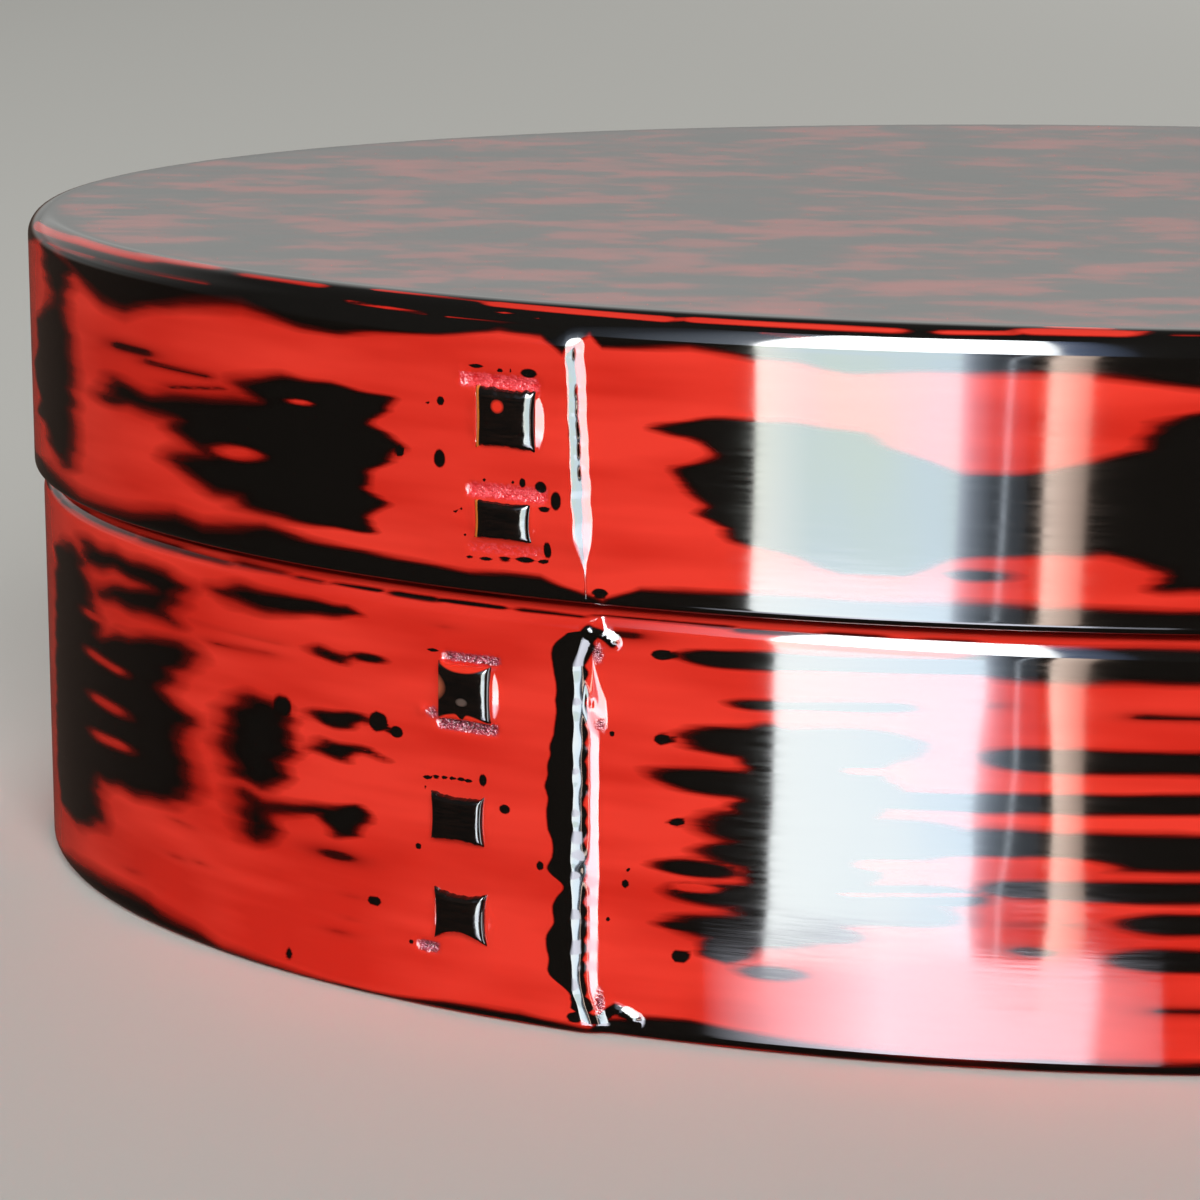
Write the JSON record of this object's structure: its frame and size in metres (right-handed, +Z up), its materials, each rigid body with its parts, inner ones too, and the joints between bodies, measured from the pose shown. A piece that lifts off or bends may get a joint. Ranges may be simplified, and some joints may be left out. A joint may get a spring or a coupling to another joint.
{
  "type": "oval lacquer box",
  "caption": "Low oval bentwood box with a lift-off lid, its lapped walls sewn with bark, finished in red lacquer polished through to black.",
  "frame": {"origin": "middle of the underside, on the surface that the box stands on", "axes": "+X along the oval's long axis, -Y toward the side with the seam, +Z up"},
  "size_m": [0.2016, 0.1336, 0.058],
  "materials": {
    "case_lacquer": "bentwood under red lacquer, polished through to black in places, mirror gloss",
    "base_lacquer": "flat board under red lacquer, mirror gloss",
    "case_bark": "cherry bark strip under black lacquer, mirror gloss",
    "rim_lacquer": "thin bentwood under deep red lacquer, gloss",
    "lid_lacquer": "bentwood under red lacquer, polished through to black in places, mirror gloss",
    "lid_top_lacquer": "flat board under finely streaked red and black lacquer, mirror gloss",
    "lid_bark": "cherry bark strip under black lacquer, mirror gloss"
  },
  "bodies": {
    "case": {"case_side_band": "case_lacquer", "base_board": "base_lacquer", "case_bark_stitch": "case_bark", "locating_rim": "rim_lacquer"},
    "lid": {"lid_side_band": "lid_lacquer", "lid_top_board": "lid_top_lacquer", "lid_bark_stitch": "lid_bark"}
  },
  "joints": [
    {"name": "lid_lift", "type": "slide", "parent": "case", "child": "lid", "axis": [0, 0, 1], "range_m": [0, 0.06]}
  ]
}
